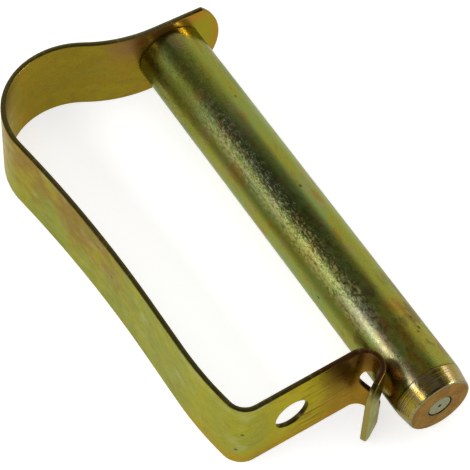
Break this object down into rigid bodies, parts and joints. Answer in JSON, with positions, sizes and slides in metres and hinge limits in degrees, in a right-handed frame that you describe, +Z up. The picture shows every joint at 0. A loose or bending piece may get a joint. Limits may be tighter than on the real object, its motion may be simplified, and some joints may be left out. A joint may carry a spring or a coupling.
{
  "type": "lynch pin",
  "caption": "Turned locking pin with a folded spring strip riveted to its head; the strip loops back as a handle and its curled lip closes on the pin near the tip.",
  "frame": {"origin": "on the pin's axis at its shoulder, where the strip is riveted on", "axes": "+X along the pin towards its tip, the strip's loop on the -Y side, +Z up across the strip's width; the part lies on the strip's lower edge"},
  "size_m": [0.1174, 0.0601, 0.02],
  "materials": {
    "pin_plating": "yellow zinc plated turned steel, glossy, with green and orange tints",
    "strip_plating": "yellow zinc plated spring steel, glossy olive gold with brown tints and dark sheared edges"
  },
  "bodies": {
    "pin": {"pin": "pin_plating"},
    "spring_strip": {"spring_strip": "strip_plating"}
  },
  "joints": [
    {"name": "strip_flex", "type": "hinge", "parent": "pin", "child": "spring_strip", "pos_m": [0.01093, -0.02869, 0], "axis": [0, 0, -1], "range_deg": [0, 12], "stiffness_Nm_per_rad": 6.6, "deforming": ["spring_strip"]}
  ]
}
